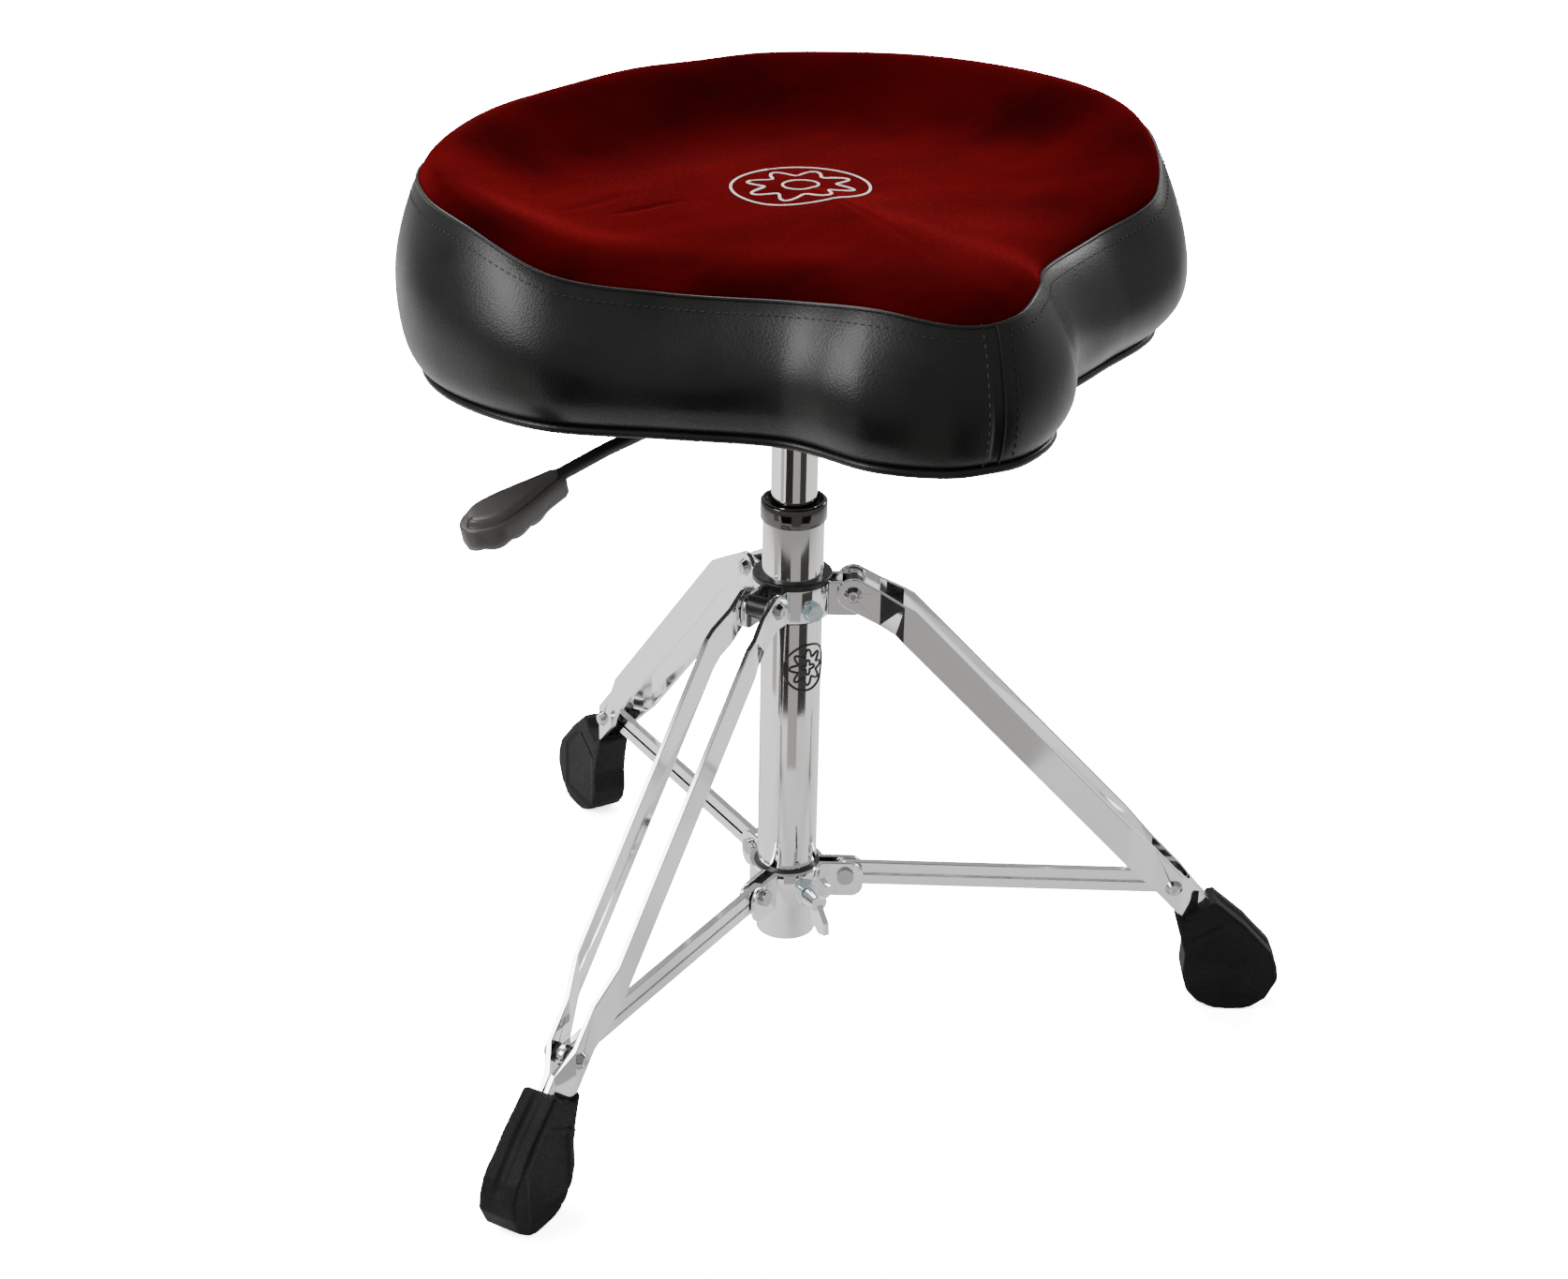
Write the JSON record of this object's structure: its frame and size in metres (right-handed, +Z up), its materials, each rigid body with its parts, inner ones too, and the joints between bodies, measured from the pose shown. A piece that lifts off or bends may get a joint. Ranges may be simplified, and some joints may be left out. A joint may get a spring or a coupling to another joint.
{
  "type": "drum throne",
  "caption": "Padded motorcycle-style seat on a gas-lift column with a release lever, above a folding double-strip tripod with rubber feet.",
  "frame": {"origin": "on the floor, on the axis of the column", "axes": "+Z up along the column; the narrow nose of the seat points to -Y; +X is to the right of someone looking along +Y from in front of the nose"},
  "size_m": [0.5724, 0.5592, 0.5814],
  "materials": {
    "chrome": "polished",
    "zinc": "bright zinc plate",
    "black_plastic": "moulded satin",
    "black_steel": "black powder coat",
    "steel": "machined",
    "rubber": "moulded",
    "plywood": "sanded",
    "foam": "open cell foam",
    "vinyl": "fine grain, satin",
    "velour": "short pile",
    "cover_cloth": "woven"
  },
  "bodies": {
    "column": {"base_plug": "steel", "column_emblem": "black_plastic", "column_tube": "chrome", "guide_bush": "black_plastic", "piston": "steel", "piston_rod": "steel", "rubber_buffer": "rubber", "tube_collar": "chrome", "upper_hub_front": "chrome", "upper_hub_left": "chrome", "upper_hub_right": "chrome", "upper_hub_screws": "zinc", "upper_liner": "black_plastic", "upper_spacers": "black_plastic"},
    "lower_hub": {"lower_liner": "black_plastic", "lower_hub_front": "chrome", "lower_hub_left": "chrome", "lower_hub_right": "chrome", "lower_hub_pins": "chrome", "wing_boss": "zinc"},
    "wing_screw": {"wing_screw": "chrome"},
    "lift": {"gas_cylinder": "chrome", "cylinder_gland": "steel", "cylinder_cap": "steel"},
    "release_pin": {"release_pin": "zinc"},
    "seat": {"thrust_ring": "zinc", "seat_socket": "black_steel", "seat_plate": "black_steel", "lever_bracket": "black_steel", "lever_pin": "zinc", "plate_bolts": "zinc", "dust_cover": "cover_cloth", "seat_board": "plywood", "foam_core": "foam", "vinyl_band": "vinyl", "bottom_welt": "vinyl", "velour_top": "velour"},
    "lever": {"lever_rod": "zinc", "lever_grip": "black_plastic"},
    "stay_right": {"stay_right": "chrome", "knee_washers_right": "black_plastic"},
    "leg_right": {"leg_right_strip_a": "chrome", "leg_right_strip_b": "chrome", "foot_right": "rubber", "knee_rivet_right": "chrome", "top_rivets_right": "chrome"},
    "stay_rear": {"stay_rear": "chrome", "knee_washers_rear": "black_plastic"},
    "leg_rear": {"leg_rear_strip_a": "chrome", "leg_rear_strip_b": "chrome", "foot_rear": "rubber", "knee_rivet_rear": "chrome", "top_rivets_rear": "chrome"},
    "stay_left": {"stay_left": "chrome", "knee_washers_left": "black_plastic"},
    "leg_left": {"leg_left_strip_a": "chrome", "leg_left_strip_b": "chrome", "foot_left": "rubber", "knee_rivet_left": "chrome", "top_rivets_left": "chrome"}
  },
  "joints": [
    {"name": "fold_slide", "type": "slide", "parent": "column", "child": "lower_hub", "axis": [0, 0, 1], "range_m": [0, 0.1196]},
    {"name": "stay_right_hinge", "type": "hinge", "parent": "lower_hub", "child": "stay_right", "pos_m": [0.03291, -0.019, 0.091], "axis": [0.5, 0.866, 0], "range_deg": [0, 83.34]},
    {"name": "leg_right_hinge", "type": "hinge", "parent": "stay_right", "child": "leg_right", "pos_m": [0.21651, -0.125, 0.0895], "axis": [0.5, 0.866, 0], "range_deg": [-41.84, 0]},
    {"name": "stay_rear_hinge", "type": "hinge", "parent": "lower_hub", "child": "stay_rear", "pos_m": [0, 0.038, 0.091], "axis": [-1, 0, 0], "range_deg": [0, 83.34]},
    {"name": "leg_rear_hinge", "type": "hinge", "parent": "stay_rear", "child": "leg_rear", "pos_m": [0, 0.25, 0.0895], "axis": [-1, 0, 0], "range_deg": [-41.84, 0]},
    {"name": "stay_left_hinge", "type": "hinge", "parent": "lower_hub", "child": "stay_left", "pos_m": [-0.03291, -0.019, 0.091], "axis": [0.5, -0.866, 0], "range_deg": [0, 83.34]},
    {"name": "leg_left_hinge", "type": "hinge", "parent": "stay_left", "child": "leg_left", "pos_m": [-0.21651, -0.125, 0.0895], "axis": [0.5, -0.866, 0], "range_deg": [-41.84, 0]},
    {"name": "wing_turn", "type": "hinge", "parent": "lower_hub", "child": "wing_screw", "pos_m": [0, -0.03, 0.088], "axis": [0, -1, 0], "continuous": true},
    {"name": "height_slide", "type": "slide", "parent": "column", "child": "lift", "axis": [0, 0, 1], "range_m": [-0.034, 0.08]},
    {"name": "seat_swivel", "type": "hinge", "parent": "lift", "child": "seat", "pos_m": [0, 0, 0.41], "axis": [0, 0, 1], "continuous": true},
    {"name": "lever_hinge", "type": "hinge", "parent": "seat", "child": "lever", "pos_m": [-0.03873, -0.01002, 0.436], "axis": [-0.2504, 0.9681, 0], "range_deg": [0, 4.5], "stiffness_Nm_per_rad": 2, "springref_deg": -6.88},
    {"name": "release_pin_slide", "type": "slide", "parent": "lift", "child": "release_pin", "axis": [0, 0, -1], "range_m": [0, 0.00297], "stiffness_N_per_m": 300, "springref_m": -0.002}
  ],
  "couplings": [
    {"joint": "stay_right_hinge", "follows": "fold_slide", "rad_per_m": 12.146},
    {"joint": "leg_right_hinge", "follows": "fold_slide", "rad_per_m": -6.0902},
    {"joint": "stay_rear_hinge", "follows": "fold_slide", "rad_per_m": 12.146},
    {"joint": "leg_rear_hinge", "follows": "fold_slide", "rad_per_m": -6.0902},
    {"joint": "stay_left_hinge", "follows": "fold_slide", "rad_per_m": 12.146},
    {"joint": "leg_left_hinge", "follows": "fold_slide", "rad_per_m": -6.0902},
    {"joint": "release_pin_slide", "follows": "lever_hinge", "m_per_rad": 0.0365}
  ]
}
